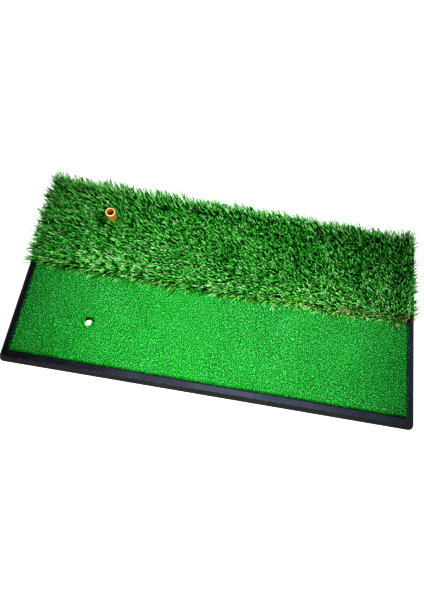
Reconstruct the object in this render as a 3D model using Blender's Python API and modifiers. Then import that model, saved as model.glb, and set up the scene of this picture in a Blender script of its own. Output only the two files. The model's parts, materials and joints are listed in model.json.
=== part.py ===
"""Golf hitting mat: a moulded rubber tray, two strips of artificial turf laid in it, and a rubber tee.

Metres, +Z up. The tray stands on z = 0 and is centred on the origin, with its long side along X.
The short fairway turf lies on the -Y side and the long rough turf on the +Y side.
The tee stands in a hole through the rough; its foot sits in a recess under the tray, so it goes in
and comes out from below.
"""

from math import radians

import bmesh
import bpy
from mathutils import Vector

# Tray
TRAY_LENGTH = 0.600
TRAY_WIDTH = 0.300
RIM_TOP = 0.012
RIM_WIDTH = 0.014
RIM_LEAN = 0.006
RIM_LEAN_START = 0.0025
CORNER_RADIUS = 0.008
POCKET_RADIUS = 0.005
TRAY_FLOOR = 0.006
EDGE_ROUND = 0.001

# Grip grooves along the underside
GROOVE_COUNT = 17
GROOVE_PITCH = 0.015
GROOVE_WIDTH = 0.006
GROOVE_DEPTH = 0.0015
GROOVE_END_MARGIN = 0.022

# Tee holes: one in each turf strip, with a recess for the tee's foot under the tray
HOLE_X = -0.185
FAIRWAY_HOLE_Y = -0.077
ROUGH_HOLE_Y = 0.086
HOLE_RADIUS = 0.008
PARTING_RADIUS = 0.0095
RECESS_RADIUS = 0.023
RECESS_DEPTH = 0.0033

# Tee
TEE_RADIUS = 0.0075
TEE_BORE_RADIUS = 0.0055
TEE_TOP = 0.052
TEE_FOOT_RADIUS = 0.022
TEE_FOOT_TOP = 0.003
TEE_CHAMFER = 0.0005

# Turf layers, from the tray's floor up
SEAM_Y = 0.005
GAP = 0.0003
TURF_EDGE_GAP = 0.001
TURF_CORNER_RADIUS = 0.004
ADHESIVE_INSET = 0.003
ADHESIVE_THICKNESS = 0.0004
BACKING_THICKNESS = 0.0012
CLOTH_THICKNESS = 0.0006
FAIRWAY_TIPS = 0.017
THATCH_TOP = 0.018
ROUGH_TIPS = 0.040
TIP_ROUND = 0.0015
ROUGH_EDGE_LEAN = 0.010
ROUGH_SEAM_LEAN = 0.012

CIRCLE_STEPS = 48
CORNER_STEPS = 5
SMOOTH_ANGLE = radians(35)
CUTTER_OVERSHOOT = 0.010

# Base colour, roughness and metallic value of each material
FINISHES = {
    "black_rubber": ((0.030, 0.033, 0.038), 0.62, 0.0),
    "gum_rubber": ((0.46, 0.25, 0.045), 0.45, 0.0),
    "hot_melt": ((0.62, 0.55, 0.36), 0.50, 0.0),
    "latex": ((0.045, 0.048, 0.050), 0.80, 0.0),
    "woven_cloth": ((0.030, 0.030, 0.028), 0.85, 0.0),
    "fairway_yarn": ((0.030, 0.420, 0.050), 0.75, 0.0),
    "rough_yarn": ((0.030, 0.200, 0.025), 0.55, 0.0),
    "thatch_yarn": ((0.330, 0.250, 0.110), 0.80, 0.0),
}


def new_collection(name):
    collection = bpy.data.collections.new(name)
    bpy.context.scene.collection.children.link(collection)
    return collection


def make_materials():
    materials = {}
    for name, (colour, roughness, metallic) in FINISHES.items():
        material = bpy.data.materials.new(name)
        material.use_nodes = True
        shader = material.node_tree.nodes["Principled BSDF"]
        shader.inputs["Base Color"].default_value = (*colour, 1.0)
        shader.inputs["Roughness"].default_value = roughness
        shader.inputs["Metallic"].default_value = metallic
        materials[name] = material
    return materials


def add_object(name, bm, collection, material=None):
    """A new object that holds the bmesh, with smooth faces and sharp edges where they turn quickly."""
    mesh = bpy.data.meshes.new(name)
    bmesh.ops.recalc_face_normals(bm, faces=bm.faces)
    bm.to_mesh(mesh)
    bm.free()
    mesh.shade_smooth()
    mesh.set_sharp_from_angle(angle=SMOOTH_ANGLE)
    if material:
        mesh.materials.append(material)
    obj = bpy.data.objects.new(name, mesh)
    collection.objects.link(obj)
    return obj


def add_cutter(name, bm, collection):
    cutter = add_object(name, bm, collection)
    cutter.hide_render = True
    cutter.display_type = "WIRE"
    return cutter


def cut(obj, cutter):
    boolean = obj.modifiers.new("cut_" + cutter.name, "BOOLEAN")
    boolean.operation = "DIFFERENCE"
    boolean.object = cutter


def round_edges(obj, radius):
    """Rounds the edges that turn sharply; the small steps of a rounded corner stay as they are."""
    bevel = obj.modifiers.new("rounded_edges", "BEVEL")
    bevel.width = radius
    bevel.segments = 2
    bevel.limit_method = "ANGLE"
    bevel.angle_limit = SMOOTH_ANGLE


def block(bm, low, high):
    """A box between two corners, added to the bmesh; returns its vertices."""
    low, high = Vector(low), Vector(high)
    made = bmesh.ops.create_cube(bm, size=1.0)["verts"]
    bmesh.ops.scale(bm, vec=high - low, verts=made)
    bmesh.ops.translate(bm, vec=(low + high) / 2, verts=made)
    return made


def rounded_block(low, high, radius, lean=0.0, lean_from=0.0):
    """A box with rounded upright corners; above lean_from its sides lean in, by lean at the top."""
    bm = bmesh.new()
    block(bm, low, high)
    upright = [e for e in bm.edges if abs(e.verts[0].co.z - e.verts[1].co.z) > 1e-6]
    bmesh.ops.bevel(bm, geom=upright, offset=radius, segments=CORNER_STEPS, profile=0.5, affect="EDGES")
    middle = (Vector(low) + Vector(high)) / 2
    half = (Vector(high) - Vector(low)) / 2
    if not lean:
        return bm
    everything = bm.verts[:] + bm.edges[:] + bm.faces[:]
    bmesh.ops.bisect_plane(bm, geom=everything, plane_co=(0, 0, lean_from), plane_no=(0, 0, 1))
    for vertex in bm.verts:
        if vertex.co.z > middle.z:
            side_x = 1 if vertex.co.x > middle.x else -1
            side_y = 1 if vertex.co.y > middle.y else -1
            centre = Vector((
                middle.x + side_x * (half.x - radius),
                middle.y + side_y * (half.y - radius),
                vertex.co.z,
            ))
            vertex.co = centre + (vertex.co - centre) * (radius - lean) / radius
    return bm


def cylinder(bm, x, y, radius, bottom, top):
    made = bmesh.ops.create_cone(
        bm, cap_ends=True, segments=CIRCLE_STEPS, radius1=radius, radius2=radius, depth=top - bottom
    )["verts"]
    bmesh.ops.translate(bm, vec=(x, y, (top + bottom) / 2), verts=made)


def hole_cutter(name, y, radius, cutters):
    """An upright cutter for a hole right through the mat."""
    bm = bmesh.new()
    cylinder(bm, HOLE_X, y, radius, -CUTTER_OVERSHOOT, ROUGH_TIPS + CUTTER_OVERSHOOT)
    return add_cutter(name, bm, cutters)


def recess_cutter(cutters):
    """Cuts the shallow round recesses under the tray, one at each tee hole."""
    bm = bmesh.new()
    for y in (FAIRWAY_HOLE_Y, ROUGH_HOLE_Y):
        cylinder(bm, HOLE_X, y, RECESS_RADIUS, -CUTTER_OVERSHOOT, RECESS_DEPTH)
    return add_cutter("foot_recesses", bm, cutters)


def groove_cutter(cutters):
    bm = bmesh.new()
    half_length = TRAY_LENGTH / 2 - GROOVE_END_MARGIN
    for i in range(GROOVE_COUNT):
        y = (i - (GROOVE_COUNT - 1) / 2) * GROOVE_PITCH
        block(
            bm,
            (-half_length, y - GROOVE_WIDTH / 2, -CUTTER_OVERSHOOT),
            (half_length, y + GROOVE_WIDTH / 2, GROOVE_DEPTH),
        )
    return add_cutter("grip_grooves", bm, cutters)


def make_base(parts, cutters, material, holes):
    """The tray: a plate with a raised rim, its outer side leaning in."""
    half_x, half_y = TRAY_LENGTH / 2, TRAY_WIDTH / 2
    body = rounded_block(
        (-half_x, -half_y, 0), (half_x, half_y, RIM_TOP), CORNER_RADIUS, RIM_LEAN, RIM_LEAN_START
    )
    base = add_object("rubber_base", body, parts, material)
    pocket = rounded_block(
        (RIM_WIDTH - half_x, RIM_WIDTH - half_y, TRAY_FLOOR),
        (half_x - RIM_WIDTH, half_y - RIM_WIDTH, RIM_TOP + CUTTER_OVERSHOOT),
        POCKET_RADIUS,
    )
    cut(base, add_cutter("turf_pocket", pocket, cutters))
    round_edges(base, EDGE_ROUND)
    for cutter in (*holes, recess_cutter(cutters), groove_cutter(cutters)):
        cut(base, cutter)


def turf_block(side, bottom, top, edge_inset, seam_inset):
    """A slab that fills the tray's pocket on one side of the seam, -Y (side -1) or +Y (side 1)."""
    outer_x = TRAY_LENGTH / 2 - RIM_WIDTH - TURF_EDGE_GAP - edge_inset
    outer_y = TRAY_WIDTH / 2 - RIM_WIDTH - TURF_EDGE_GAP - edge_inset
    low_y, high_y = sorted((SEAM_Y + side * (GAP + seam_inset), side * outer_y))
    return rounded_block((-outer_x, low_y, bottom), (outer_x, high_y, top), TURF_CORNER_RADIUS)


def make_strip(prefix, side, hole, parts, materials):
    """Adhesive, backing and cloth of one turf strip; returns the height where its yarn starts."""
    bottom = TRAY_FLOOR + GAP
    for layer_name, thickness, material, inset in (
        ("adhesive", ADHESIVE_THICKNESS, "hot_melt", ADHESIVE_INSET),
        ("backing", BACKING_THICKNESS, "latex", 0.0),
        ("primary_cloth", CLOTH_THICKNESS, "woven_cloth", 0.0),
    ):
        body = turf_block(side, bottom, bottom + thickness, inset, inset)
        layer = add_object(prefix + "_" + layer_name, body, parts, materials[material])
        cut(layer, hole)
        bottom += thickness + GAP
    return bottom


def make_pile(name, body, hole, parts, material):
    """The yarn of a turf strip as one soft block with rounded edges."""
    pile = add_object(name, body, parts, material)
    round_edges(pile, TIP_ROUND)
    cut(pile, hole)


def make_tee(parts, material):
    """The tee: a tube on a wide flat foot, turned from its outline."""
    c = TEE_CHAMFER
    outline = (
        (TEE_BORE_RADIUS + c, TEE_TOP),
        (TEE_RADIUS - c, TEE_TOP),
        (TEE_RADIUS, TEE_TOP - c),
        (TEE_RADIUS, TEE_FOOT_TOP),
        (TEE_FOOT_RADIUS - c, TEE_FOOT_TOP),
        (TEE_FOOT_RADIUS, TEE_FOOT_TOP - c),
        (TEE_FOOT_RADIUS, GAP + c),
        (TEE_FOOT_RADIUS - c, GAP),
        (TEE_BORE_RADIUS, GAP),
        (TEE_BORE_RADIUS, TEE_TOP - c),
    )
    bm = bmesh.new()
    points = [bm.verts.new((radius, 0, z)) for radius, z in outline]
    for start, end in zip(points, points[1:] + points[:1]):
        bm.edges.new((start, end))
    tee = add_object("rubber_tee", bm, parts, material)
    tee.location = (HOLE_X, ROUGH_HOLE_Y, 0)
    screw = tee.modifiers.new("turned", "SCREW")
    screw.steps = CIRCLE_STEPS
    screw.render_steps = CIRCLE_STEPS
    screw.use_merge_vertices = True
    screw.merge_threshold = 0.00001
    screw.use_smooth_shade = True


def main():
    for obj in list(bpy.data.objects):
        bpy.data.objects.remove(obj)
    parts = new_collection("golf_hitting_mat")
    cutters = new_collection("cutters")
    materials = make_materials()

    fairway_hole = hole_cutter("fairway_hole", FAIRWAY_HOLE_Y, HOLE_RADIUS, cutters)
    rough_hole = hole_cutter("rough_hole", ROUGH_HOLE_Y, HOLE_RADIUS, cutters)
    parting = hole_cutter("parting_around_tee", ROUGH_HOLE_Y, PARTING_RADIUS, cutters)
    make_base(parts, cutters, materials["black_rubber"], (fairway_hole, rough_hole))

    yarn_start = make_strip("fairway", -1, fairway_hole, parts, materials)
    body = turf_block(-1, yarn_start, FAIRWAY_TIPS, 0.0, 0.0)
    make_pile("fairway_pile", body, fairway_hole, parts, materials["fairway_yarn"])

    yarn_start = make_strip("rough", 1, rough_hole, parts, materials)
    body = turf_block(1, yarn_start, THATCH_TOP, 0.0, 0.0)
    make_pile("rough_thatch", body, rough_hole, parts, materials["thatch_yarn"])
    body = turf_block(1, THATCH_TOP + GAP, ROUGH_TIPS, -ROUGH_EDGE_LEAN, -ROUGH_SEAM_LEAN)
    make_pile("rough_pile", body, parting, parts, materials["rough_yarn"])

    make_tee(parts, materials["gum_rubber"])


main()
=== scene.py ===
"""Looks of the golf hitting mat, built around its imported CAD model.

Metres, +Z up, in the CAD frame: the fairway turf is at -Y and the rough turf at +Y. Every strand of
yarn is a small closed solid, and the strands of one colour are one piece.
"""

import json
from math import cos, pi, radians, sin

import bmesh
import bpy
import numpy as np
from mathutils import Matrix, Vector, noise


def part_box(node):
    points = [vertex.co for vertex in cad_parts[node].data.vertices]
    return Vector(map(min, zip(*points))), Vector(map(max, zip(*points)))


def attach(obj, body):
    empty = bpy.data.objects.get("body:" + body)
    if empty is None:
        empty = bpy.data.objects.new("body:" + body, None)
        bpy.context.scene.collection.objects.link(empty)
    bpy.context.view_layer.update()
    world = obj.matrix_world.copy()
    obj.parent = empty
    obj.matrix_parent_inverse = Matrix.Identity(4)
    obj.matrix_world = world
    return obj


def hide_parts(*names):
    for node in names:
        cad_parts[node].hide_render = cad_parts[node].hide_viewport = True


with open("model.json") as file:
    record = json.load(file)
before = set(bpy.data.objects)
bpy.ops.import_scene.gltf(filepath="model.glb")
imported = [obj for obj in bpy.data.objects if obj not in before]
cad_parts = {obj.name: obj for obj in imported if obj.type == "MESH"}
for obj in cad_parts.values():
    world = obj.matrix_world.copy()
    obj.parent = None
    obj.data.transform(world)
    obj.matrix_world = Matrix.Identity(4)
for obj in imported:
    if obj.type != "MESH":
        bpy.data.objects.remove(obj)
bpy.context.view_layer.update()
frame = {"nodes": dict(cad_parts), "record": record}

MM = 0.001

# Places, read from the frame
base_low, base_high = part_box("rubber_base")
fairway_low, fairway_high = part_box("fairway_pile")
thatch_low, thatch_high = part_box("rough_thatch")
tee_low, tee_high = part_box("rubber_tee")
tee_x, tee_y = (tee_low.x + tee_high.x) / 2, (tee_low.y + tee_high.y) / 2
openings = {o["name"]: o["box_m"] for o in frame["record"]["physics"]["openings"]}
hole_low, hole_high = openings["fairway_tee_hole"]
hole_x, hole_y = (hole_low[0] + hole_high[0]) / 2, (hole_low[1] + hole_high[1]) / 2
seam_left, seam_right = thatch_low.x + 1 * MM, thatch_high.x - 1 * MM

# Sizes of the tray and the tee, as in the CAD model, apart from the tee's rounded lip
RIM_WIDTH = 14 * MM
RIM_LEAN = 6 * MM
CORNER_RADIUS = 8 * MM
POCKET_RADIUS = 5 * MM
TRAY_FLOOR = 6 * MM
HOLE_RADIUS = 8 * MM
PARTING_RADIUS = 9.5 * MM
RECESS_RADIUS = 23 * MM
RECESS_DEPTH = 3.3 * MM
GROOVE_COUNT = 17
GROOVE_PITCH = 15 * MM
GROOVE_WIDTH = 6 * MM
GROOVE_DEPTH = 1.5 * MM
GROOVE_END_MARGIN = 22 * MM
TEE_RADIUS = 7.5 * MM
TEE_LIP_RADIUS = 7.1 * MM
TEE_BORE_RADIUS = 5.5 * MM
TEE_FOOT_TOP = 3 * MM

# Where the shapes start that are cut out of others, well below the mat
CUT_BOTTOM = -10 * MM

# Sizes of the yarn
CURL_PITCH = 1.55 * MM
CURL_WIDTHS = 0.75 * MM, 1.15 * MM
CURL_THICKNESS = 0.4 * MM
TUFT_PITCH = 3.0 * MM
BLADE_WIDTHS = 0.9 * MM, 1.4 * MM
BLADE_THICKNESS = 0.35 * MM

# Wear and a darker patch: the x of nicks in the front rim, the x and y of a darker patch in the
# rough, and the x and y of matted tan tufts at the seam
NICKS = (0.070, 0.112)
PATCH_X, PATCH_Y = 0.012, 0.056
MATTED = (0.181, 0.003), (0.272, 0.006)
MATTED_CURLS = 26


# Material helpers


class Nodes:
    """A material's node tree, with short names for what the materials below are made of."""

    def __init__(self, name):
        self.material = bpy.data.materials.new(name)
        self.material.use_nodes = True
        self.tree = self.material.node_tree
        self.shader = self.tree.nodes["Principled BSDF"]

    def set(self, socket, value):
        if isinstance(value, bpy.types.NodeSocket):
            self.tree.links.new(value, socket)
        elif isinstance(value, tuple) and len(value) == 3 and socket.type == "RGBA":
            socket.default_value = (*value, 1)
        else:
            socket.default_value = value

    def add(self, kind, inputs, **settings):
        node = self.tree.nodes.new("ShaderNode" + kind)
        for key, value in settings.items():
            setattr(node, key, value)
        for key, value in inputs.items():
            self.set(node.inputs[key], value)
        return node

    def place(self, scale=(1, 1, 1)):
        """The point on the object, in metres, stretched by scale."""
        where = self.add("TexCoord", {}).outputs["Object"]
        return self.add("Mapping", {"Vector": where, "Scale": scale}).outputs[0]

    def position(self):
        """The x, y and z of the point on the object, in metres."""
        where = self.add("TexCoord", {}).outputs["Object"]
        return list(self.add("SeparateXYZ", {"Vector": where}).outputs)

    def inside_holes(self):
        """1 on the walls of the two tee holes and 0 elsewhere."""
        x, y, _ = self.position()
        found = None
        for hx, hy in ((hole_x, hole_y), (tee_x, tee_y)):
            dx, dy = self.math("SUBTRACT", x, hx), self.math("SUBTRACT", y, hy)
            square = self.math("ADD", self.math("MULTIPLY", dx, dx), self.math("MULTIPLY", dy, dy))
            near = self.math("LESS_THAN", self.math("SQRT", square, 0.0), HOLE_RADIUS + 0.3 * MM)
            found = near if found is None else self.math("MAXIMUM", found, near)
        return found

    def noise(self, scale, detail=3.0, stretch=(1, 1, 1)):
        inputs = {"Vector": self.place(stretch), "Scale": scale, "Detail": detail}
        return self.add("TexNoise", inputs).outputs["Fac"]

    def attribute(self, name):
        """The three numbers that a mesh holds at each point under that name."""
        colour = self.add("Attribute", {}, attribute_name=name).outputs["Color"]
        return list(self.add("SeparateColor", {"Color": colour}).outputs)

    def ramp(self, factor, stops):
        node = self.add("ValToRGB", {"Fac": factor})
        elements = node.color_ramp.elements
        while len(elements) < len(stops):
            elements.new(0.5)
        for element, (position, colour) in zip(elements, stops):
            element.position = position
            element.color = (*colour, 1)
        return node.outputs["Color"]

    def mix(self, factor, a, b, blend="MIX"):
        node = self.add("Mix", {0: factor, 6: a, 7: b}, data_type="RGBA", blend_type=blend)
        return node.outputs[2]

    def math(self, operation, a, b):
        return self.add("Math", {0: a, 1: b}, operation=operation).outputs[0]

    def spread(self, factor, low, high, from_low=0.0, from_high=1.0):
        """factor, taken from one range to another and held at its ends."""
        inputs = {"Value": factor, "From Min": from_low, "From Max": from_high}
        return self.add("MapRange", {**inputs, "To Min": low, "To Max": high}).outputs[0]

    def finish(self, colour, roughness, bump=None, strength=0.3, distance=0.2 * MM, **others):
        self.set(self.shader.inputs["Base Color"], colour)
        self.set(self.shader.inputs["Roughness"], roughness)
        for key, value in others.items():
            self.set(self.shader.inputs[key.replace("_", " ")], value)
        if bump is not None:
            inputs = {"Height": bump, "Strength": strength, "Distance": distance}
            self.set(self.shader.inputs["Normal"], self.add("Bump", inputs).outputs[0])
        return self.material


def yarn_material(
    name, stops, root, roughness, root_end=0.1, body_start=0.6, gloss=0.5, blotch=0.18
):
    """Yarn whose strands differ in colour, with fine streaks along them.

    stops are the colours that strands may have. Each strand has the root's colour, a painted shade,
    up to root_end of its length and its own from body_start. blotch is how far patches of the turf
    shift its colours.
    """
    n = Nodes(name)
    own, along, other = n.attribute("strand")
    patches = n.spread(n.noise(14), -blotch, blotch, 0.3, 0.7)
    body = n.ramp(n.math("ADD", own, patches), stops)
    # Dark towards the root: painted shade down among the strands
    colour = n.mix(n.spread(along, 0.0, 1.0, root_end, body_start), root, body)
    streaks = n.noise(700, 1.0, (1, 1, 0.1))
    colour = n.mix(n.spread(streaks, 0.0, 0.5, 0.4, 0.75), colour, (0.42, 0.66, 0.30), "SOFT_LIGHT")
    rough = n.spread(other, roughness - 0.1, roughness + 0.12)
    return n.finish(colour, rough, streaks, 0.25, 0.1 * MM, Specular_IOR_Level=gloss)


def tray_material():
    """Moulded rubber: neutral on its sides, with a bluish bloom and a painted sheen on top, dust
    and wear on its edges, and painted shade at its foot and on the walls of its holes.
    """
    n = Nodes("tray_rubber")
    # wear holds edge wear, the top face (bloom and painted sheen) and the foot (painted shadow)
    wear, upper, foot = n.attribute("wear")
    x, _, _ = n.position()
    clouds = n.noise(22, 4.0)
    smears = n.noise(60, 3.0, (0.3, 1, 1))
    grain = n.noise(2600, 2.0)
    # The top is lighter and bluer to the right, a painted sheen, and in cloudy patches a bluish
    # bloom.
    to_right = n.spread(x, 0.0, 0.75, -0.26, 0.04)
    sheen_and_bloom_mix = n.math("ADD", to_right, n.spread(clouds, -0.15, 0.25, 0.35, 0.65))
    bloom_and_sheen_colour = n.mix(sheen_and_bloom_mix, (0.0050, 0.0065, 0.012), (0.034, 0.042, 0.062))
    smeared = n.spread(smears, 0.0, 1.0, 0.35, 0.7)
    side = n.mix(smeared, (0.010, 0.010, 0.011), (0.026, 0.025, 0.025))
    shade = n.mix(upper, side, bloom_and_sheen_colour)
    edge = n.math("MULTIPLY", wear, n.spread(n.noise(160, 3.0), 0.0, 0.8, 0.4, 0.7))
    shade = n.mix(edge, shade, (0.060, 0.064, 0.082))
    # Near black and without reflection at the foot: a painted contact shadow.
    shade = n.mix(foot, shade, (0.003, 0.003, 0.003))
    # Near black and without reflection on the walls of the holes: painted shade.
    cut = n.inside_holes()
    shade = n.mix(cut, shade, (0.002, 0.002, 0.002))
    level = n.spread(n.math("MAXIMUM", cut, foot), 0.13, 0.0)
    gloss = n.spread(smears, 0.48, 0.70, 0.3, 0.7)
    return n.finish(shade, gloss, grain, 0.35, 0.15 * MM, Specular_IOR_Level=level)


# Mesh helpers


def add_piece(name, mesh, body, slot, *nodes, material):
    """Adds the mesh as a piece that rides on body and stands for the CAD nodes named."""
    obj = bpy.data.objects.new(name, mesh)
    bpy.context.scene.collection.objects.link(obj)
    mesh.materials.append(material)
    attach(obj, body)
    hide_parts(*nodes)


def mesh_from_faces(name, points, quads, triangles):
    mesh = bpy.data.meshes.new(name)
    loops = np.concatenate([quads.ravel(), triangles.ravel()]).astype(np.int32)
    starts = np.concatenate([
        np.arange(len(quads)) * 4,
        len(quads) * 4 + np.arange(len(triangles)) * 3,
    ]).astype(np.int32)
    mesh.vertices.add(len(points))
    mesh.vertices.foreach_set("co", points.astype(np.float32).ravel())
    mesh.loops.add(len(loops))
    mesh.loops.foreach_set("vertex_index", loops)
    mesh.polygons.add(len(starts))
    mesh.polygons.foreach_set("loop_start", starts)
    mesh.update(calc_edges=True)
    mesh.shade_smooth()
    return mesh


def set_attribute(mesh, name, values):
    """Stores three numbers at each point, for the material to read."""
    colours = np.ones((len(values), 4), np.float32)
    colours[:, : values.shape[1]] = values
    layer = mesh.attributes.new(name, "FLOAT_COLOR", "POINT")
    layer.data.foreach_set("color", colours.ravel())


def unit(vectors):
    return vectors / np.maximum(np.linalg.norm(vectors, axis=-1, keepdims=True), 1e-12)


def strand_mesh(name, paths, widths, thickness, tone, rng, open_to_light=0.0):
    """Strands as closed three-sided blades with a flat face and a ridge.

    paths[i, k] is the middle of strand i at its ring k, and widths[i, k] its width there. tone sets
    each strand's place in its material's range of colours, and open_to_light, from 0 to 1, how far
    up its dark root, a painted shade, is taken to have gone already.
    """
    count, rings = paths.shape[:2]
    along = unit(np.gradient(paths, axis=1))
    across = level_directions(count, rng)[:, None, :]
    across = unit(across - (across * along).sum(-1, keepdims=True) * along)
    ridge = np.cross(along, across)
    corners = np.array([[-0.5, -0.33], [0.5, -0.33], [0.0, 0.67]])
    points = (
        paths[:, :, None, :]
        + across[:, :, None, :] * widths[:, :, None, None] * corners[None, None, :, :1]
        + ridge[:, :, None, :] * thickness * corners[None, None, :, 1:]
    )
    strand = np.arange(count)[:, None, None] * rings * 3
    ring = np.arange(rings - 1)[None, :, None] * 3
    near = np.arange(3)[None, None, :]
    far = (near + 1) % 3
    here, above = strand + ring, strand + ring + 3
    quads = np.stack([here + near, here + far, above + far, above + near], axis=-1).reshape(-1, 4)
    first = np.arange(count)[:, None] * rings * 3
    last = first + (rings - 1) * 3
    triangles = np.concatenate([first + [[0, 2, 1]], last + [[0, 1, 2]]])
    mesh = mesh_from_faces(name, points.reshape(-1, 3), quads, triangles)

    numbers = np.empty((count, rings, 3, 3))
    numbers[..., 0] = np.clip(tone, 0, 1)[:, None, None]
    past_root = np.broadcast_to(open_to_light, count)[:, None]
    numbers[..., 1] = (past_root + (1 - past_root) * np.linspace(0, 1, rings))[:, :, None]
    numbers[..., 2] = rng.random(count)[:, None, None]
    set_attribute(mesh, "strand", numbers.reshape(-1, 3))
    unwrap_strands(mesh, count, rings)
    return mesh


def unwrap_strands(mesh, count, rings):
    """Gives each strand its own cell of the map that a bake writes to."""
    cells = int(np.ceil(np.sqrt(count)))
    cell = np.arange(count)
    corner = np.stack([cell % cells, cell // cells], -1)[:, None, None, None, :]
    side = np.arange(3)[None, None, :, None] + np.array([0, 1, 1, 0])
    ring = np.arange(rings - 1)[None, :, None, None] + np.array([0, 0, 1, 1])
    side, ring = np.broadcast_arrays(side, ring)
    inside = np.stack([side / 3, ring / (rings - 1)], -1) * 0.8 + 0.1
    quads = ((corner + inside) / cells).reshape(-1, 2)
    corner = corner[:, 0, 0]
    caps = []
    for across, height in (((0.1, 0.5, 0.3), 0.1), ((0.1, 0.3, 0.5), 0.9)):
        cap = np.stack(np.broadcast_arrays(np.array([across]), height), -1)
        caps.append((corner + cap) / cells)
    caps = np.concatenate(caps).reshape(-1, 2)
    layer = mesh.uv_layers.new(name="OFBake")
    layer.data.foreach_set("uv", np.concatenate([quads, caps]).astype(np.float32).ravel())


def scatter(low, high, pitch, jitter, rng):
    """Points on a loose grid over a rectangle."""
    across = max(1, round((high[0] - low[0]) / pitch))
    deep = max(1, round((high[1] - low[1]) / pitch))
    x, y = np.meshgrid(
        low[0] + (np.arange(across) + 0.5) * (high[0] - low[0]) / across,
        low[1] + (np.arange(deep) + 0.5) * (high[1] - low[1]) / deep,
    )
    points = np.stack([x.ravel(), y.ravel()], -1)
    return points + rng.uniform(-jitter, jitter, points.shape)


def outside(points, x, y, radius):
    """True for each point that is further than radius from x, y."""
    return np.hypot(points[:, 0] - x, points[:, 1] - y) > radius


def keep_out(paths, x, y, radius):
    """Moves the points of strands that would stand inside an upright cylinder out to its wall."""
    away = paths[..., :2] - (x, y)
    distance = np.maximum(np.linalg.norm(away, axis=-1, keepdims=True), 1e-6)
    paths[..., :2] = (x, y) + away * np.maximum(distance, radius) / distance


def slow_noise(points, scale, seed):
    """Smooth noise from -1 to 1 at each point of the turf."""
    return np.array([noise.noise((p[0] * scale, p[1] * scale, seed)) for p in points])


def bent_paths(roots, lean, length, rings, first=0.7, last=1.3):
    """Strands that rise from their roots and bend over more and more towards lean."""
    reach = np.linalg.norm(lean, axis=-1)
    mean = np.arcsin(np.clip(reach, 0.02, 0.95))[:, None]
    share = (np.arange(rings - 1) + 0.5) / (rings - 1)
    angle = np.minimum(mean * (first + (last - first) * share), radians(105))
    step = (length / (rings - 1))[:, None]
    heading = unit(lean)
    moves = np.stack(
        [
            np.sin(angle) * step * heading[:, :1],
            np.sin(angle) * step * heading[:, 1:],
            np.cos(angle) * step,
        ],
        axis=-1,
    )
    start = np.zeros((len(roots), 1, 3))
    return roots[:, None, :] + np.concatenate([start, np.cumsum(moves, axis=1)], axis=1)


def curled_paths(roots, height, radius, turns, rings, rng):
    """Strands that rise while they turn about their roots and bend over at the top."""
    share = np.linspace(0, 1, rings)[None, :]
    count = len(roots)
    angle = rng.uniform(0, 2 * pi, count)[:, None] + 2 * pi * turns[:, None] * share
    out = radius[:, None] * np.sin(share * pi / 2)
    rise = height[:, None] * np.sin(share * pi * 0.62)
    curl = np.stack([out * np.cos(angle), out * np.sin(angle), rise], axis=-1)
    return roots[:, None, :] + curl


def even_shares(points, cell, rng):
    """A number from 0 to 1 for each point, at random but spread evenly within every square cell."""
    column, row = np.floor(points[:, :2] / cell).astype(int).T
    more_than_rows = 10000
    square = column * more_than_rows + row
    order = np.lexsort((rng.random(len(points)), square))
    _, first, size = np.unique(square[order], return_index=True, return_counts=True)
    rank = np.arange(len(points)) - np.repeat(first, size)
    shares = np.empty(len(points))
    shares[order] = (rank + rng.random(len(points))) / np.repeat(size, size)
    return shares


def level_directions(count, rng):
    """Unit vectors at random in the level plane."""
    angle = rng.uniform(0, 2 * pi, count)
    return np.stack([np.cos(angle), np.sin(angle), np.zeros(count)], -1)


def with_height(points, height):
    return np.concatenate([points, np.full((len(points), 1), height)], axis=1)


def cutter(bm_maker):
    """An object for a Boolean, made by a function that fills a bmesh."""
    bm = bmesh.new()
    bm_maker(bm)
    bmesh.ops.recalc_face_normals(bm, faces=bm.faces)
    mesh = bpy.data.meshes.new("cutter")
    bm.to_mesh(mesh)
    bm.free()
    obj = bpy.data.objects.new("cutter", mesh)
    bpy.context.scene.collection.objects.link(obj)
    return obj


def carve(mesh, makers):
    """The mesh with each maker's shape cut out of it."""
    obj = bpy.data.objects.new("carved", mesh)
    bpy.context.scene.collection.objects.link(obj)
    cutters = [cutter(maker) for maker in makers]
    for shape in cutters:
        modifier = obj.modifiers.new("cut", "BOOLEAN")
        modifier.operation = "DIFFERENCE"
        modifier.object = shape
    depsgraph = bpy.context.evaluated_depsgraph_get()
    carved = bpy.data.meshes.new_from_object(
        obj.evaluated_get(depsgraph), preserve_all_data_layers=True, depsgraph=depsgraph
    )
    for used in (obj, *cutters):
        bpy.data.objects.remove(used)
    return carved


def add_cylinder(bm, x, y, radius, bottom, top, segments=64):
    made = bmesh.ops.create_cone(
        bm, cap_ends=True, segments=segments, radius1=radius, radius2=radius, depth=top - bottom
    )["verts"]
    bmesh.ops.translate(bm, vec=(x, y, (top + bottom) / 2), verts=made)


def add_block(bm, low, high):
    low, high = Vector(low), Vector(high)
    made = bmesh.ops.create_cube(bm, size=1.0)["verts"]
    bmesh.ops.scale(bm, vec=high - low, verts=made)
    bmesh.ops.translate(bm, vec=(low + high) / 2, verts=made)


# The rubber tray


def rim_radius(inset):
    """The corner radius of the tray's outline at a distance in from its foot."""
    if inset <= RIM_LEAN:
        return CORNER_RADIUS - inset
    share = (inset - RIM_LEAN) / (RIM_WIDTH - RIM_LEAN)
    return CORNER_RADIUS - RIM_LEAN + share * (POCKET_RADIUS - CORNER_RADIUS + RIM_LEAN)


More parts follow.
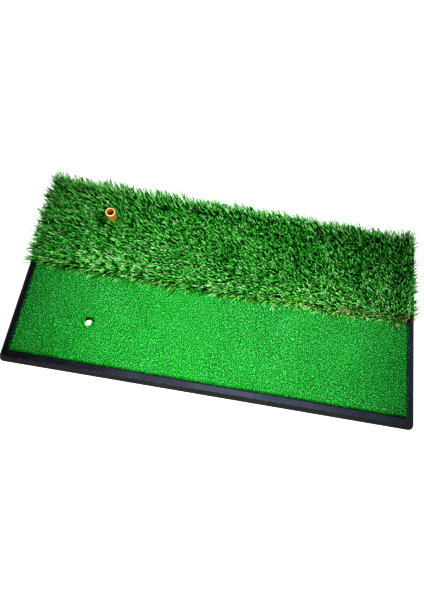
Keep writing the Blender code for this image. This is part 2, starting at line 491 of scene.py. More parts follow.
def rim_columns():
    """The rim's columns of points, as ("side", side, share along it) or ("corner", side, angle).

    The front, side 0, has more of them at its nicks.
    """
    straight = base_high.x - base_low.x - 2 * CORNER_RADIUS
    nicks = [(x - base_low.x - CORNER_RADIUS) / straight for x in NICKS]
    roughly_straight = 0.58
    beside_nick = [d * MM / roughly_straight for d in (-1.6, -0.9, -0.4, 0, 0.4, 0.9, 1.6)]
    columns = []
    for side in range(4):
        steps = 230 if side % 2 == 0 else 112
        shares = set(np.linspace(0, 1, steps + 1)[1:-1])
        if side == 0:
            shares |= {nick + beside for nick in nicks for beside in beside_nick}
        columns += [("side", side, share) for share in sorted(shares)]
        columns += [("corner", side, angle) for angle in np.linspace(0, pi / 2, 11)]
    return columns


def rim_point(column, inset):
    """The point of a column at a distance in from the foot's outline.

    Side 0 is the front, run along +X, and corner 0 ends it; the others follow anticlockwise.
    """
    kind, side, where = column
    radius = rim_radius(inset)
    half_x = (base_high.x - base_low.x) / 2 - inset - radius
    half_y = (base_high.y - base_low.y) / 2 - inset - radius
    centres = [(half_x, -half_y), (half_x, half_y), (-half_x, half_y), (-half_x, -half_y)]
    turn = -pi / 2 + side * pi / 2
    if kind == "corner":
        cx, cy = centres[side]
        return cx + radius * cos(turn + where), cy + radius * sin(turn + where)
    (ax, ay), (bx, by) = centres[side - 1], centres[side]
    dx, dy = radius * cos(turn), radius * sin(turn)
    return ax + (bx - ax) * where + dx, ay + (by - ay) * where + dy


def rim_profile():
    """The rim's section from its foot over its top to the floor: (inset, height, wear)."""
    top = base_high.z
    return (
        (1.2 * MM, 0.0, 0.0), (0.35 * MM, 0.15 * MM, 0.0), (0.0, 0.7 * MM, 0.3),
        (0.0, 1.6 * MM, 0.2), (0.0, 2.2 * MM, 0.5), (0.25 * MM, 2.9 * MM, 0.4),
        (1.6 * MM, 5.0 * MM, 0.0), (3.2 * MM, 7.6 * MM, 0.0), (4.7 * MM, 10.1 * MM, 0.1),
        (5.5 * MM, top - 0.65 * MM, 0.8), (6.1 * MM, top - 0.12 * MM, 1.0), (7.0 * MM, top, 0.5),
        (8.4 * MM, top - 0.10 * MM, 0.0), (10.0 * MM, top - 0.14 * MM, 0.0),
        (11.6 * MM, top - 0.10 * MM, 0.0), (12.9 * MM, top, 0.4), (13.6 * MM, top - 0.15 * MM, 0.8),
        (14.0 * MM, top - 0.7 * MM, 0.3), (14.0 * MM, top - 3.2 * MM, 0.0),
        (14.0 * MM, TRAY_FLOOR + 0.4 * MM, 0.0), (14.3 * MM, TRAY_FLOOR, 0.0),
    )


def tray_mesh():
    """The moulded tray: a rim swept round its outline, closed below and at the tray's floor."""
    top_inset, painted_shadow_height = 5.8 * MM, 1.7 * MM
    profile, columns = rim_profile(), rim_columns()
    points, wear = [], []
    for column in columns:
        for inset, height, worn in profile:
            x, y = rim_point(column, inset)
            wave = noise.noise((x * 40, y * 40, 3.1)) + 0.5 * noise.noise((x * 150, y * 150, 8.7))
            lift = max(0.0, height - 3 * MM) / base_high.z
            z = height + 0.16 * MM * wave * lift
            y += 0.10 * MM * noise.noise((x * 90, y * 90, height * 300)) * lift
            if column[:2] == ("side", 0):
                for nick in NICKS:
                    sharp = max(0.0, 1 - abs(x - nick) / (1.2 * MM))
                    z -= 0.9 * MM * sharp * min(1.0, max(0.0, height - 6 * MM) / (4 * MM))
            points.append((x, y, z))
            # Edge wear, the top for bloom and painted sheen, and the foot for painted shadow
            wear.append((worn, float(inset > top_inset), float(height < painted_shadow_height)))
    rings = len(profile)
    count = len(columns)
    i = np.arange(count)[:, None]
    k = np.arange(rings - 1)[None, :]
    j = (i + 1) % count
    quads = np.stack([i * rings + k, j * rings + k, j * rings + k + 1, i * rings + k + 1], -1)
    bm = bmesh.new()
    verts = [bm.verts.new(p) for p in points]
    for quad in quads.reshape(-1, 4):
        bm.faces.new([verts[v] for v in quad])
    bm.faces.new([verts[c * rings] for c in reversed(range(count))])
    bm.faces.new([verts[c * rings + rings - 1] for c in range(count)])
    mesh = bpy.data.meshes.new("rubber_tray")
    bm.to_mesh(mesh)
    bm.free()
    # wear also marks the top for painted sheen and the foot for painted shadow
    set_attribute(mesh, "wear", np.array(wear))
    return mesh


def tray_cutters():
    """The makers of what is cut out of the tray: its holes, its recesses and its grooves."""
    half_length = (base_high.x - base_low.x) / 2 - GROOVE_END_MARGIN

    def holes(bm):
        for x, y in ((hole_x, hole_y), (tee_x, tee_y)):
            add_cylinder(bm, x, y, HOLE_RADIUS, CUT_BOTTOM, 30 * MM)

    def recesses(bm):
        for x, y in ((hole_x, hole_y), (tee_x, tee_y)):
            add_cylinder(bm, x, y, RECESS_RADIUS, CUT_BOTTOM, RECESS_DEPTH, 96)

    def grooves(bm):
        for i in range(GROOVE_COUNT):
            y = (i - (GROOVE_COUNT - 1) / 2) * GROOVE_PITCH
            low = (-half_length, y - GROOVE_WIDTH / 2, CUT_BOTTOM)
            add_block(bm, low, (half_length, y + GROOVE_WIDTH / 2, GROOVE_DEPTH))

    return holes, recesses, grooves


def make_tray():
    material = tray_material()
    mesh = carve(tray_mesh(), tray_cutters())
    mesh.shade_smooth()
    mesh.set_sharp_from_angle(angle=radians(40))
    add_piece("rubber_tray", mesh, "mat", "black_rubber", "rubber_base", material=material)


# The tee


def tee_outline():
    """The tee's section as (radius, height): its lip, tube and foot from outside, then its bore."""
    bottom, top = tee_low.z, tee_high.z
    foot_radius = (tee_high.x - tee_low.x) / 2
    lip_middle = (TEE_LIP_RADIUS + TEE_BORE_RADIUS) / 2
    lip_half = (TEE_LIP_RADIUS - TEE_BORE_RADIUS) / 2
    lip = [
        (lip_middle + lip_half * cos(turn), top - 0.7 * MM + 0.7 * MM * sin(turn))
        for turn in np.linspace(pi, 0, 9)
    ]
    tube = [(TEE_LIP_RADIUS + 0.02 * MM, top - 1.8 * MM)]
    tube += [(TEE_RADIUS, z) for z in np.linspace(top - 9 * MM, TEE_FOOT_TOP + 0.6 * MM, 10)]
    foot = [
        (TEE_RADIUS + 0.35 * MM, TEE_FOOT_TOP + 0.05 * MM),
        (TEE_RADIUS + 3 * MM, TEE_FOOT_TOP), (foot_radius - 4 * MM, TEE_FOOT_TOP),
        (foot_radius - 1 * MM, TEE_FOOT_TOP - 0.1 * MM),
        (foot_radius - 0.1 * MM, TEE_FOOT_TOP - 0.8 * MM),
        (foot_radius, (TEE_FOOT_TOP + bottom) / 2),
        (foot_radius - 0.1 * MM, bottom + 0.6 * MM), (foot_radius - 0.8 * MM, bottom),
        (TEE_BORE_RADIUS + 1.5 * MM, bottom), (TEE_BORE_RADIUS, bottom + 0.8 * MM),
    ]
    bore = [(TEE_BORE_RADIUS, z) for z in np.linspace(bottom + 6 * MM, top - 2 * MM, 24)]
    return lip + tube + foot + bore


def make_tee():
    """The gum-rubber tee, turned from its outline, and a little out of round."""
    outline = tee_outline()
    steps, rings = 96, len(outline)
    angles = np.arange(steps) * 2 * pi / steps
    radius, height = np.array(outline).T
    wobble = 1 + 0.006 * np.sin(2 * angles + 0.7) + 0.004 * np.sin(3 * angles)
    r = radius[None, :] * wobble[:, None]
    points = np.stack(
        [
            tee_x + r * np.cos(angles)[:, None],
            tee_y + r * np.sin(angles)[:, None],
            np.broadcast_to(height, r.shape),
        ],
        axis=-1,
    )
    i, k = np.arange(steps)[:, None], np.arange(rings)[None, :]
    j, m = (i + 1) % steps, (k + 1) % rings
    quads = np.stack(
        np.broadcast_arrays(i * rings + k, i * rings + m, j * rings + m, j * rings + k), -1
    ).reshape(-1, 4)
    no_triangles = np.zeros((0, 3), int)
    mesh = mesh_from_faces("rubber_tee_moulded", points.reshape(-1, 3), quads, no_triangles)
    mesh.set_sharp_from_angle(angle=radians(50))

    top = tee_high.z
    place = np.zeros((steps, rings, 3))
    # Where the lip gets its painted highlight.
    on_lip = np.clip((height - top + 1.6 * MM) / (0.8 * MM), 0, 1)
    place[:, :, 0] = (radius > TEE_BORE_RADIUS + 0.4 * MM) * on_lip
    # How far down the bore its painted shade has come.
    down_bore = np.clip((top - 1.5 * MM - height) / (12 * MM), 0, 1)
    place[:, :, 1] = (radius < TEE_BORE_RADIUS + 0.3 * MM) * down_bore
    # Painted shade on the tee below 24 mm, where it stands in the turf.
    place[:, :, 2] = np.clip((24 * MM - height) / (10 * MM), 0, 1)
    set_attribute(mesh, "place", place.reshape(-1, 3))
    gum = gum_material()
    add_piece("rubber_tee_moulded", mesh, "tee", "gum_rubber", "rubber_tee", material=gum)


def gum_material():
    """Amber gum rubber: a pale painted highlight on the lip, painted shade down the bore and
    painted shade where it stands in the turf.
    """
    n = Nodes("gum_rubber")
    lip, bore, painted_shade_low_down = n.attribute("place")
    clouds = n.noise(120, 3.0)
    colour = n.mix(n.spread(clouds, 0.0, 1.0, 0.3, 0.7), (0.50, 0.24, 0.040), (0.70, 0.40, 0.09))
    specks = n.noise(1500, 2.0)
    colour = n.mix(n.spread(specks, 0.0, 0.5, 0.6, 0.75), colour, (0.30, 0.12, 0.02))
    # A pale painted highlight on the lip.
    colour = n.mix(lip, colour, (0.79, 0.60, 0.23))
    # Painted shade down the bore, near black deep inside.
    colour = n.mix(n.spread(bore, 0.0, 1.0, 0.0, 0.35), colour, (0.50, 0.19, 0.006))
    colour = n.mix(n.spread(bore, 0.0, 0.97, 0.3, 1.0), colour, (0.10, 0.014, 0.001))
    # Painted shade where the tee stands in the turf.
    colour = n.mix(n.spread(painted_shade_low_down, 0.0, 0.6), colour, (0.10, 0.04, 0.008))
    return n.finish(
        colour, n.spread(clouds, 0.40, 0.55), specks, 0.2, 0.1 * MM,
        Specular_IOR_Level=n.spread(bore, 0.5, 0.0, 0.0, 0.4),
        Subsurface_Weight=0.10, Subsurface_Scale=1.0,
        Subsurface_Radius=(2 * MM, 0.8 * MM, 0.3 * MM),
    )


# Turf


def yarn_bed(name, low, high, top, hole, pitch, bumps, seed, shift=0.0):
    """The matted lower part of a strip's yarn: a slab with a lumpy top and a tee hole.

    The hole's back wall stands in by twice the shift, as matted yarn does in a worn hole.
    """
    columns = round((high.x - low.x) / pitch)
    rows = round((high.y - low.y) / pitch)
    bm = bmesh.new()
    bmesh.ops.create_grid(bm, x_segments=columns, y_segments=rows, size=0.5)
    for vertex in bm.verts:
        edge = min(0.5 - abs(vertex.co.x), 0.5 - abs(vertex.co.y)) < 1e-4
        x = low.x + (vertex.co.x + 0.5) * (high.x - low.x)
        y = low.y + (vertex.co.y + 0.5) * (high.y - low.y)
        lump = noise.noise((x * 420, y * 420, seed))
        lump += 0.6 * noise.noise((x * 900, y * 900, seed + 4))
        if edge:
            sway = 0.3 * MM * noise.noise((x * 200, y * 200, seed + 9))
            vertex.co = (x - sway, y + sway, top - 1.5 * MM + bumps * 0.4 * lump)
        else:
            vertex.co = (x, y, top + bumps * lump)
    rim = [e for e in bm.edges if e.is_boundary]
    made = bmesh.ops.extrude_edge_only(bm, edges=rim)["geom"]
    for vertex in (v for v in made if isinstance(v, bmesh.types.BMVert)):
        vertex.co.z = low.z
    bmesh.ops.contextual_create(bm, geom=[e for e in bm.edges if e.is_boundary])
    bmesh.ops.recalc_face_normals(bm, faces=bm.faces)
    mesh = bpy.data.meshes.new(name)
    bm.to_mesh(mesh)
    bm.free()

    def tee_hole(bm):
        radius = HOLE_RADIUS - shift
        add_cylinder(bm, hole[0], hole[1] - shift, radius, CUT_BOTTOM, 60 * MM)

    mesh = carve(mesh, (tee_hole,))
    mesh.name = name
    mesh.shade_smooth()
    return mesh


def bed_material(name, dark, light, bottom, top):
    """Matted yarn in painted shade up to the height bottom and on the walls of the tee holes, and
    in its own colours from top.
    """
    n = Nodes(name)
    curls = n.noise(900, 2.0)
    patches = n.noise(18)
    colour = n.mix(n.spread(curls, 0.0, 1.0, 0.35, 0.65), dark, light)
    colour = n.mix(n.spread(patches, 0.0, 0.5, 0.4, 0.7), colour, dark)
    # Painted shade low in the yarn and on the walls of the tee holes.
    painted_shade_low_down = n.spread(n.position()[2], 1.0, 0.0, bottom, top)
    colour = n.mix(n.math("MAXIMUM", painted_shade_low_down, n.inside_holes()), colour, (0.001, 0.002, 0.001))
    return n.finish(colour, 0.9, curls, 0.9, 0.8 * MM, Specular_IOR_Level=0.1)


def make_fairway_bed():
    top = fairway_high.z
    material = bed_material(
        "fairway_bed_yarn", (0.003, 0.06, 0.006), (0.02, 0.28, 0.03), top - 5 * MM, top - 3.6 * MM
    )
    bed = yarn_bed(
        "fairway_yarn_bed", fairway_low, fairway_high, top - 3.2 * MM, (hole_x, hole_y),
        pitch=2 * MM, bumps=0.7 * MM, seed=1.0, shift=1.4 * MM,
    )
    add_piece("fairway_yarn_bed", bed, "mat", "fairway_yarn", "fairway_pile", material=material)


def make_fairway_curls():
    """Short curls all over the fairway, in three pieces side by side."""
    rng = np.random.default_rng(11)
    root_height = fairway_high.z - 4.2 * MM
    # Darkest stop: painted shade by the rim and hole. Palest stops: partly painted glints.
    greens = (
        (0.0, (0.0, 0.04, 0.001)), (0.08, (0.0, 0.38, 0.004)), (0.35, (0.001, 0.53, 0.016)),
        (0.6, (0.055, 0.66, 0.12)), (0.85, (0.16, 0.70, 0.27)), (1.0, (0.30, 0.73, 0.44)),
    )
    # (0.001, 0.10, 0.004) is the curls' root colour: painted shade
    yarn = yarn_material("fairway_yarn", greens, (0.001, 0.10, 0.004), 0.6, gloss=0.15, blotch=0.05)
    margin = 0.3 * MM
    thirds = np.linspace(fairway_low.x + margin, fairway_high.x - margin, 4)
    for name, left, right in zip(("left", "middle", "right"), thirds[:-1], thirds[1:]):
        low, high = (left, fairway_low.y + margin), (right, fairway_high.y - margin)
        spots = scatter(low, high, CURL_PITCH, 0.6 * MM, rng)
        spots = spots[outside(spots, hole_x, hole_y, HOLE_RADIUS + 0.2 * MM)]
        count = len(spots)
        paths = curled_paths(
            with_height(spots, root_height),
            rng.normal(4.0 * MM, 0.5 * MM, count),
            rng.uniform(0.6 * MM, 1.3 * MM, count),
            rng.uniform(0.25, 0.6, count) * rng.choice((-1, 1), count),
            3,
            rng,
        )
        if left < hole_x < right:
            paths = np.concatenate([paths, curls_into_hole(root_height, rng)])
        keep_out(paths, hole_x, hole_y, 4.9 * MM)
        widths = rng.uniform(*CURL_WIDTHS, len(paths))[:, None] * np.array([0.8, 1.0, 0.8])
        tone = fairway_tone(paths[:, 0, :2], rng)
        mesh = strand_mesh("fairway_curls_" + name, paths, widths, CURL_THICKNESS, tone, rng)
        add_piece(mesh.name, mesh, "mat", "fairway_yarn", "fairway_pile", material=yarn)


def fairway_tone(points, rng):
    """Where each curl is in its range of colours.

    Two in five are dark and the rest light. All are painted darker, as shade, at the tray's rim and
    round the hole.
    """
    share = even_shares(points, 3.2 * MM, rng)
    tone = np.interp(share, (0, 0.4, 0.4001, 1), (0.1, 0.35, 0.55, 1.0))
    from_ends = np.abs(points[:, :1] - (fairway_low.x, fairway_high.x)).min(-1)
    from_edge = np.minimum(points[:, 1] - fairway_low.y, from_ends)
    # Painted shade along the tray's rim
    tone -= 0.7 * np.clip(1.3 - from_edge / (3 * MM), 0, 1)
    # Painted shade round the hole
    from_hole = np.hypot(points[:, 0] - hole_x, points[:, 1] - hole_y)
    return tone - 0.35 * np.clip((10.2 * MM - from_hole) / (1.5 * MM), 0, 1)


def curls_into_hole(height, rng):
    """Curls round the fairway's hole that bend in over it, apart from a worn gap behind it."""
    count = 330
    angle = rng.uniform(0, 2 * pi, count)
    in_gap = np.abs(angle - radians(88)) < radians(50)
    angle = angle[~in_gap | (rng.random(count) < 0.1)]
    count = len(angle)
    inward = -np.stack([np.cos(angle), np.sin(angle)], -1)
    roots = (hole_x, hole_y) - inward * rng.uniform(8.1 * MM, 8.8 * MM, count)[:, None]
    reach = rng.uniform(0.50, 0.75, count) + 0.20 * np.cos(2 * (angle - radians(45)))
    lean = inward * reach[:, None] + rng.normal(0, 0.10, (count, 2))
    return bent_paths(with_height(roots, height), lean, rng.normal(5.8 * MM, 0.4 * MM, count), 3)


def rough_lean(points, rng):
    """How far the rough's blades lean along X and Y at each point.

    Mostly they lean to -X and a little forward. At the right end and the back they lean out over
    the tray, and to the right of the tee they stand up, or they would cross it.
    """
    depth = np.clip((points[:, 1] - thatch_low.y) / (thatch_high.y - thatch_low.y), 0, 1)
    along = np.clip((points[:, 0] - thatch_low.x) / (thatch_high.x - thatch_low.x), 0, 1)
    near_left = np.clip(1 - (points[:, 0] - thatch_low.x) / (14 * MM), 0, 1)
    edge = np.clip(1 - (thatch_high.x - points[:, 0]) / (26 * MM), 0, 1)
    near_right = np.where(rng.random(len(points)) < edge ** 1.2, 0.45 + 0.3 * edge, 0.1 * edge)
    near_back = np.clip(1 - (thatch_high.y - points[:, 1]) / (16 * MM), 0, 1) ** 1.4
    side = np.interp(along, (0.0, 0.5, 0.85), (0.35, 0.46, 0.58))
    forward = np.interp(along, (0.0, 0.5, 1.0), (0.05, 0.11, 0.05))
    reach = np.interp(along, (0.0, 0.5, 0.8, 1.0), (0.25, 0.16, 0.05, 0.0))
    sway = 0.06 * slow_noise(points, 30, 2.0), 0.06 * slow_noise(points, 26, 5.0)
    lean_x = -side + 0.10 * near_left + 0.62 * near_right + sway[0]
    past_tee = points[:, 0] - tee_x
    beside_tee = (past_tee > 0) & (np.abs(points[:, 1] - tee_y) < 13 * MM)
    lean_x = np.where(beside_tee, np.maximum(lean_x, (10 * MM - past_tee) / (31 * MM)), lean_x)
    lean_y = 0.58 * near_back + 0.08 * near_right - forward - reach * (1 - depth) ** 1.5 + sway[1]
    return np.stack([lean_x, lean_y], -1) + rng.normal(0, 0.07, points.shape)


def in_tee_gap(points):
    """True where the turf is parted round the tee: further beside it, and behind it on the left."""
    dx, dy = points[:, 0] - tee_x, points[:, 1] - tee_y
    angle = np.degrees(np.arctan2(dy, dx))
    wide = (np.abs(angle) < 40) | (angle > 115) | (angle < -165)
    return np.hypot(dx, dy) < np.where(wide, 14.5 * MM, PARTING_RADIUS)


def rough_tone(points, rng):
    """Where each blade is in its range of colours.

    Blades are lighter along the seam, most in its middle, and at both ends, and darker right of the
    middle: painted light and shade across the rough. They are also lighter at the back, and darker
    in a patch and, as painted shadow, by the tee.
    """
    depth = (points[:, 1] - thatch_low.y) / (thatch_high.y - thatch_low.y)
    along = (points[:, 0] - thatch_low.x) / (thatch_high.x - thatch_low.x)
    from_tee = np.hypot(points[:, 0] - tee_x, points[:, 1] - tee_y)
    painted_tee_shadow = np.clip(1.6 - from_tee / (10.5 * MM), 0, 1)
    from_patch = np.hypot(points[:, 0] - PATCH_X, points[:, 1] - PATCH_Y) / (22 * MM)
    # Painted light along the seam and painted shadow by the tee
    painted_seam_light = np.interp(along, (0.0, 0.25, 0.5, 0.7, 1.0), (-0.05, 0.17, 0.55, 0.34, 0.18))
    shade = painted_seam_light * np.maximum(1 - depth, 0) ** 2.5 - 0.8 * painted_tee_shadow
    # Darker in a patch round PATCH_X, PATCH_Y
    shade -= 0.45 * np.exp(-from_patch ** 2)
    shade += 0.30 * np.clip((depth - 0.88) / 0.12, 0, 1)
    # Painted light at both ends and painted shade right of the middle
    shade += np.interp(along, (0.0, 0.3, 0.6, 1.0), (0.10, -0.02, -0.18, 0.09))
    return even_shares(points, 8 * MM, rng) * 0.94 + shade - 0.05


def rough_tufts(rng):
    """Where the rough's tufts stand, which is closer together at the right end and at the back."""
    low = thatch_low.x + 1 * MM, thatch_low.y + 1 * MM
    high = thatch_high.x - 1 * MM, thatch_high.y - 1 * MM
    tufts = np.concatenate([
        scatter(low, high, TUFT_PITCH, 1.3 * MM, rng),
        scatter((high[0] - 20 * MM, low[1]), high, 4.4 * MM, 2.0 * MM, rng),
        scatter((high[0] - 5 * MM, low[1]), high, 3.0 * MM, 1.2 * MM, rng),
        scatter((low[0], high[1] - 7 * MM), high, 3.4 * MM, 1.4 * MM, rng),
    ])
    return tufts[~in_tee_gap(tufts)]


def dark_blade_share(tufts):
    """What part of its dark blades each tuft has: less in front and by the left and back edges."""
    from_seam = tufts[:, 1] - thatch_low.y
    from_rim = np.minimum(tufts[:, 0] - thatch_low.x, thatch_high.y - tufts[:, 1])
    # Fewer near-black blades in front are part of the painted light along the seam
    share = np.interp(from_seam, (0, 35 * MM, 75 * MM), (0.62, 0.75, 1.0))
    return share * np.interp(from_rim, (2 * MM, 8 * MM), (0.3, 1.0))


def make_rough():
    """The rough's blades, in three colours that each tuft has some of."""
    rng = np.random.default_rng(23)
    tufts = rough_tufts(rng)
    tuft_lean = rough_lean(tufts, rng)
    green = (
        (0.0, (0.001, 0.11, 0.002)), (0.4, (0.012, 0.32, 0.012)), (0.8, (0.090, 0.56, 0.073)),
        (1.0, (0.24, 0.73, 0.19)),
    )
    # The dark blades run to near black: partly a darker yarn, partly painted shade between the
    # blades
    dark = (
        (0.0, (0.0001, 0.006, 0.0001)), (0.6, (0.0003, 0.026, 0.0006)), (1.0, (0.003, 0.12, 0.004)),
    )
    # The palest lime stops are partly painted highlights, glints on the blades
    lime = (
        (0.0, (0.06, 0.47, 0.045)), (0.5, (0.22, 0.65, 0.17)), (0.85, (0.43, 0.77, 0.35)),
        (1.0, (0.66, 0.89, 0.54)),
    )
    # The fourth of each is the colour of the blades' roots: painted shade
    for name, per_tuft, stops, root, length, gloss in (
        ("green", 1.5, green, (0.0003, 0.006, 0.0002), 33.0 * MM, 0.12),
        ("dark", 1.9, dark, (0.0001, 0.003, 0.0001), 32.5 * MM, 0.03),
        ("lime", 0.90, lime, (0.0005, 0.010, 0.0005), 33.5 * MM, 0.6),
    ):
        material = yarn_material("rough_yarn_" + name, stops, root, 0.34, 0.60, 0.95, gloss)
        share = dark_blade_share(tufts) if name == "dark" else 1.0
        blades = np.floor(per_tuft * share + rng.random(len(tufts))).astype(int)
        chosen = np.repeat(np.arange(len(tufts)), blades)
        roots = tufts[chosen] + rng.normal(0, 0.8 * MM, (len(chosen), 2))
        for side, here in (("left", roots[:, 0] < 0), ("right", roots[:, 0] >= 0)):
            lean = tuft_lean[chosen[here]]
            add_blades(f"rough_blades_{name}_{side}", roots[here], lean, length, material, rng)
    make_collar(green, rng)


def make_collar(green, rng):
    """Upright blades close in front of the tee, which hide its lower part."""
    count = 46
    angle = rng.uniform(radians(-150), radians(-50), count)
    out = rng.uniform(10.3 * MM, 12.5 * MM, count)
    roots = np.stack([tee_x + out * np.cos(angle), tee_y + out * np.sin(angle)], -1)
    lean = np.tile((-0.10, 0.16), (count, 1))
    # The root colour is painted shade
    material = yarn_material("rough_yarn_collar", green, (0.0003, 0.005, 0.0003), 0.34, 0.50, 0.97)
    add_blades("rough_blades_collar", roots, lean, 32.5 * MM, material, rng)


def add_blades(name, roots, lean, length, material, rng):
    """Adds a piece of the rough's blades. Its outer rows are green down to their roots, with less
    of the painted root shade.
    """
    count = len(roots)
    lean = lean + rng.normal(0, 0.15, (count, 2))
    lengths = rng.normal(length, 2.2 * MM, count)
    paths = bent_paths(with_height(roots, thatch_low.z), lean, lengths, 4)
    keep_out(paths, tee_x, tee_y, PARTING_RADIUS + 0.5 * MM)
    taper = np.array([0.8, 1.0, 1.0, 0.6])
    widths = rng.uniform(*BLADE_WIDTHS, count)[:, None] * taper
    x, y = roots.T
    from_outside = np.minimum(np.minimum(x - thatch_low.x, thatch_high.x - x), thatch_high.y - y)
    outer = 0.55 * np.clip(1.4 - from_outside / (5 * MM), 0, 1)
    mesh = strand_mesh(name, paths, widths, BLADE_THICKNESS, rough_tone(roots, rng), rng, outer)
    add_piece(name, mesh, "mat", "rough_yarn", "rough_pile", material=material)


def along_seam(x):
    """How far along the seam each x is, from 0 at its left end to 1."""
    return (x - seam_left) / (seam_right - seam_left)


def leaning_blades(rng):
    """The roots and leans of blades all along the seam that have fallen forward."""
    count = 2100
    x = rng.uniform(seam_left, seam_right, count)
    y = thatch_low.y + 0.5 * MM + rng.exponential(3.0 * MM, count)
    forward = np.interp(along_seam(x), (0.0, 0.2, 0.5, 0.75, 1.0), (0.34, 0.50, 0.48, 0.32, 0.16))
    lean = np.stack([rng.normal(-0.45, 0.38, count), rng.normal(-forward, 0.20)], -1)
    return np.stack([x, y], -1), lean


def fallen_tufts(rng):
    """The roots and leans of blades in tufts at the seam's right half that lie on the fairway."""
    tufts, per_tuft = 12, 16
    middle = seam_left + 0.50 * (seam_right - seam_left)
    tuft_x = rng.uniform(middle, seam_right - 8 * MM, tufts)
    tuft_lean = np.stack([rng.uniform(-0.6, 0.5, tufts), rng.uniform(-0.82, -0.55, tufts)], -1)
    count = tufts * per_tuft
    x = np.repeat(tuft_x, per_tuft) + rng.normal(0, 1.2 * MM, count)
    y = thatch_low.y + rng.uniform(0.5 * MM, 3 * MM, count)
    lean = np.repeat(tuft_lean, per_tuft, axis=0) + rng.normal(0, 0.16, (count, 2))
    return np.stack([x, y], -1), lean


def make_fringe():
    """Blades at the seam that lean or lie over the fairway."""
    rng = np.random.default_rng(29)
    roots, lean = leaning_blades(rng)
    fallen_roots, fallen_lean = fallen_tufts(rng)
    roots = np.concatenate([roots, fallen_roots])
    lean = np.concatenate([lean, fallen_lean])
    count = len(roots)
    paths = bent_paths(
        with_height(roots, thatch_low.z), lean, rng.normal(21 * MM, 4 * MM, count), 7, 0.5, 1.6
    )
    widths = rng.uniform(*BLADE_WIDTHS, count)[:, None] * np.linspace(1.0, 0.7, 7)
    tone = rng.random(count) * 0.95 + 0.15 * along_seam(roots[:, 0]) ** 2 - 0.07
    mesh = strand_mesh("rough_blades_fringe", paths, widths, 0.3 * MM, tone, rng)
    # The darkest stop is partly painted shade under the fringe, the palest partly painted highlight
    stops = (
        (0.0, (0.0005, 0.01, 0.0005)), (0.35, (0.015, 0.20, 0.008)), (0.6, (0.14, 0.62, 0.06)),
        (0.85, (0.34, 0.73, 0.18)), (1.0, (0.68, 0.78, 0.40)),
    )
    # The root colour is painted shade
    material = yarn_material("rough_yarn_fringe", stops, (0.004, 0.02, 0.002), 0.34, 0.2, 0.8)
    add_piece("rough_blades_fringe", mesh, "mat", "rough_yarn", "rough_pile", material=material)


def make_thatch_bed():
    # The thatch bed is near black: painted shade deep under the blades
    material = bed_material(
        "thatch_bed_yarn", (0.002, 0.006, 0.002), (0.012, 0.020, 0.006), 0.0, 1 * MM
    )
    bed = yarn_bed(
        "rough_thatch_bed", thatch_low, thatch_high, thatch_low.z + 3 * MM, (tee_x, tee_y),
        pitch=2.5 * MM, bumps=0.8 * MM, seed=6.0,
    )
    add_piece("rough_thatch_bed", bed, "mat", "thatch_yarn", "rough_thatch", material=material)


def thatch_spots(rng):
    """Where tan curls stand: thin in the rough, close at the seam and, last, in matted tufts."""
    front, back = thatch_low.y, thatch_high.y - 1 * MM
    spots = scatter((seam_left, front + 1 * MM), (seam_right, back), 5.0 * MM, 2.2 * MM, rng)
    seam = scatter((seam_left, front), (seam_right, front + 5 * MM), 1.9 * MM, 1.2 * MM, rng)
    matted = np.repeat(np.array(MATTED), MATTED_CURLS, axis=0)
    matted += rng.normal(0, 1, matted.shape) * (5 * MM, 3 * MM)
    spots = np.concatenate([spots, seam])
    return np.concatenate([spots[outside(spots, tee_x, tee_y, PARTING_RADIUS)], matted])


def make_thatch_curls():
    """The tan curls low in the rough, which show along the seam and stand out in matted tufts."""
    rng = np.random.default_rng(31)
    stops = (
        (0.0, (0.010, 0.012, 0.003)), (0.3, (0.08, 0.07, 0.02)), (0.55, (0.30, 0.22, 0.08)),
        (0.8, (0.50, 0.38, 0.18)), (1.0, (0.80, 0.68, 0.44)),
    )
    # The root colour is painted shade
    yarn = yarn_material("thatch_yarn", stops, (0.01, 0.01, 0.003), 0.7)
    spots = thatch_spots(rng)
    count, matted = len(spots), MATTED_CURLS * len(MATTED)
    by_seam = np.clip(1.5 - (spots[:, 1] - thatch_low.y) / (6 * MM), 0, 1)
    along = (spots[:, 0] - thatch_low.x) / (thatch_high.x - thatch_low.x)
    to_right = np.interp(along, (0.0, 0.6, 0.9), (0.5, 0.7, 1.1))
    # Away from the seam the curls stay dark: painted shade under the blades
    tone = rng.random(count) * (0.3 + 0.7 * by_seam * to_right)
    tone[-matted:] = rng.uniform(0.1, 1.2, matted)
    height = rng.normal(9 * MM, 2.0 * MM, count)
    height[-matted:] += rng.uniform(9 * MM, 18 * MM, matted)
    paths = curled_paths(
        with_height(spots, thatch_low.z + 1 * MM),
        height,
        rng.uniform(1.0 * MM, 3.2 * MM, count),
        rng.uniform(0.5, 1.6, count) * rng.choice((-1, 1), count),
        8,
        rng,
    )
    widths = rng.uniform(0.6 * MM, 1.0 * MM, count)[:, None] * np.linspace(1.0, 0.6, 8)
    mesh = strand_mesh("rough_thatch_curls", paths, widths, 0.35 * MM, tone, rng)
    add_piece("rough_thatch_curls", mesh, "mat", "thatch_yarn", "rough_thatch", material=yarn)


# The layers inside, which stay as they are in the CAD model


def glue_material():
    n = Nodes("hot_melt_glue")
    strings = n.noise(60, 4.0, (0.2, 1, 1))
    colour = n.mix(n.spread(strings, 0.0, 1.0, 0.35, 0.65), (0.45, 0.36, 0.18), (0.72, 0.64, 0.42))
    # Dark on the walls of the tee holes: painted shade.
    colour = n.mix(n.inside_holes(), colour, (0.02, 0.015, 0.008))
    return n.finish(colour, n.spread(strings, 0.25, 0.5), strings, 0.6, 0.3 * MM)


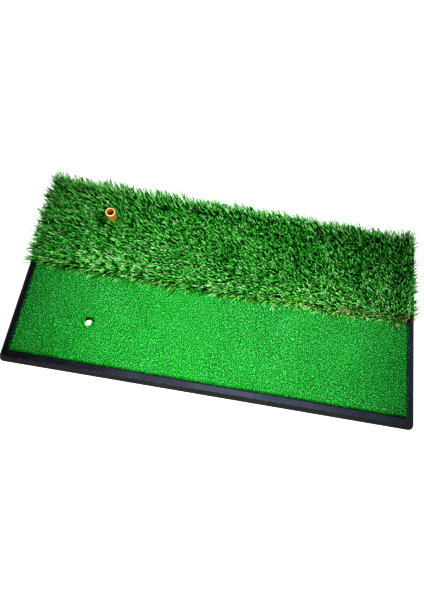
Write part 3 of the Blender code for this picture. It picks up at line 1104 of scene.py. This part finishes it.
def latex_material():
    n = Nodes("latex_coat")
    ripples = n.noise(300, 3.0)
    light = n.spread(ripples, 0.0, 1.0, 0.3, 0.7)
    colour = n.mix(light, (0.020, 0.022, 0.022), (0.070, 0.074, 0.072))
    return n.finish(colour, n.spread(ripples, 0.6, 0.9), ripples, 0.7, 0.4 * MM)


def cloth_material():
    """Woven tape, with warp along X and weft along Y."""
    n = Nodes("woven_tape_cloth")
    inputs = {"Vector": n.place(), "Distortion": 0.4}
    warp = n.add("TexWave", {**inputs, "Scale": 105.0}, bands_direction="X")
    weft = n.add("TexWave", {**inputs, "Scale": 80.0}, bands_direction="Y")
    weave = n.math("MAXIMUM", warp.outputs["Fac"], weft.outputs["Fac"])
    colour = n.mix(weave, (0.008, 0.009, 0.008), (0.060, 0.062, 0.058))
    return n.finish(colour, n.spread(weave, 0.75, 0.5), weave, 0.8, 0.3 * MM)


def dress_layers():
    glue, latex, cloth = glue_material(), latex_material(), cloth_material()
    for strip in ("fairway", "rough"):
        for layer, material in (("adhesive", glue), ("backing", latex), ("primary_cloth", cloth)):
            node = frame["nodes"][f"{strip}_{layer}"]
            node.data.materials.clear()
            node.data.materials.append(material)


# Floor, lights and camera


def make_floor():
    """A pale floor. It rides on the tee, because the mat is lifted off it to pull the tee out."""
    bpy.ops.mesh.primitive_plane_add(size=30, location=(0, 0, -0.2 * MM))
    floor = bpy.context.object
    floor.name = "floor"
    n = Nodes("floor_paper")
    grain = n.noise(400, 2.0)
    colour = n.mix(n.spread(grain, 0.0, 1.0), (0.24, 0.24, 0.24), (0.26, 0.26, 0.26))
    paper = n.finish(colour, 0.9, Emission_Color=(1, 1, 1), Emission_Strength=0.95)
    floor.data.materials.append(paper)
    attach(floor, "tee")


def add_spot(name, place, target, size, power, cone):
    """Adds a lamp at place that shines towards target."""
    light = bpy.data.lights.new(name, "SPOT")
    light.shadow_soft_size = size
    light.spot_size = cone
    light.spot_blend = 1.0
    light.energy = power
    obj = bpy.data.objects.new(name, light)
    bpy.context.scene.collection.objects.link(obj)
    obj.location = place
    obj.rotation_euler = (Vector(target) - Vector(place)).to_track_quat("-Z", "Y").to_euler()


def make_lights():
    """A soft white room, and one lamp over the middle of the fairway."""
    world = bpy.data.worlds.new("studio")
    bpy.context.scene.world = world
    world.use_nodes = True
    background = world.node_tree.nodes["Background"]
    background.inputs["Color"].default_value = (1, 1, 1, 1)
    background.inputs["Strength"].default_value = 0.24
    add_spot("lamp", (0.03, -0.22, 0.92), (0.0, -0.02, 0.0), 0.05, 60, radians(48))
    view = bpy.context.scene.view_settings
    view.view_transform = "Standard"
    view.look = "High Contrast"


def make_camera():
    """Looks down on the mat from in front, with its long side falling to the right."""
    tilt, yaw, roll = radians(71.9), radians(-0.42), radians(9.25)
    ahead = Vector((sin(yaw) * cos(tilt), cos(yaw) * cos(tilt), -sin(tilt)))
    level = Vector((cos(yaw), -sin(yaw), 0))
    over = level.cross(ahead)
    right = level * cos(roll) + over * sin(roll)
    up = over * cos(roll) - level * sin(roll)
    camera = bpy.data.cameras.new("camera")
    camera.sensor_width = 36
    camera.lens = 24.0
    obj = bpy.data.objects.new("camera", camera)
    bpy.context.scene.collection.objects.link(obj)
    axes = Matrix((right, up, -ahead)).transposed().to_4x4()
    obj.matrix_world = Matrix.Translation((-12.2 * MM, -198.0 * MM, 585.5 * MM)) @ axes
    bpy.context.scene.camera = obj


make_camera()
make_tray()
make_tee()
make_fairway_bed()
make_fairway_curls()
make_rough()
make_fringe()
make_thatch_bed()
make_thatch_curls()
dress_layers()
make_floor()
make_lights()
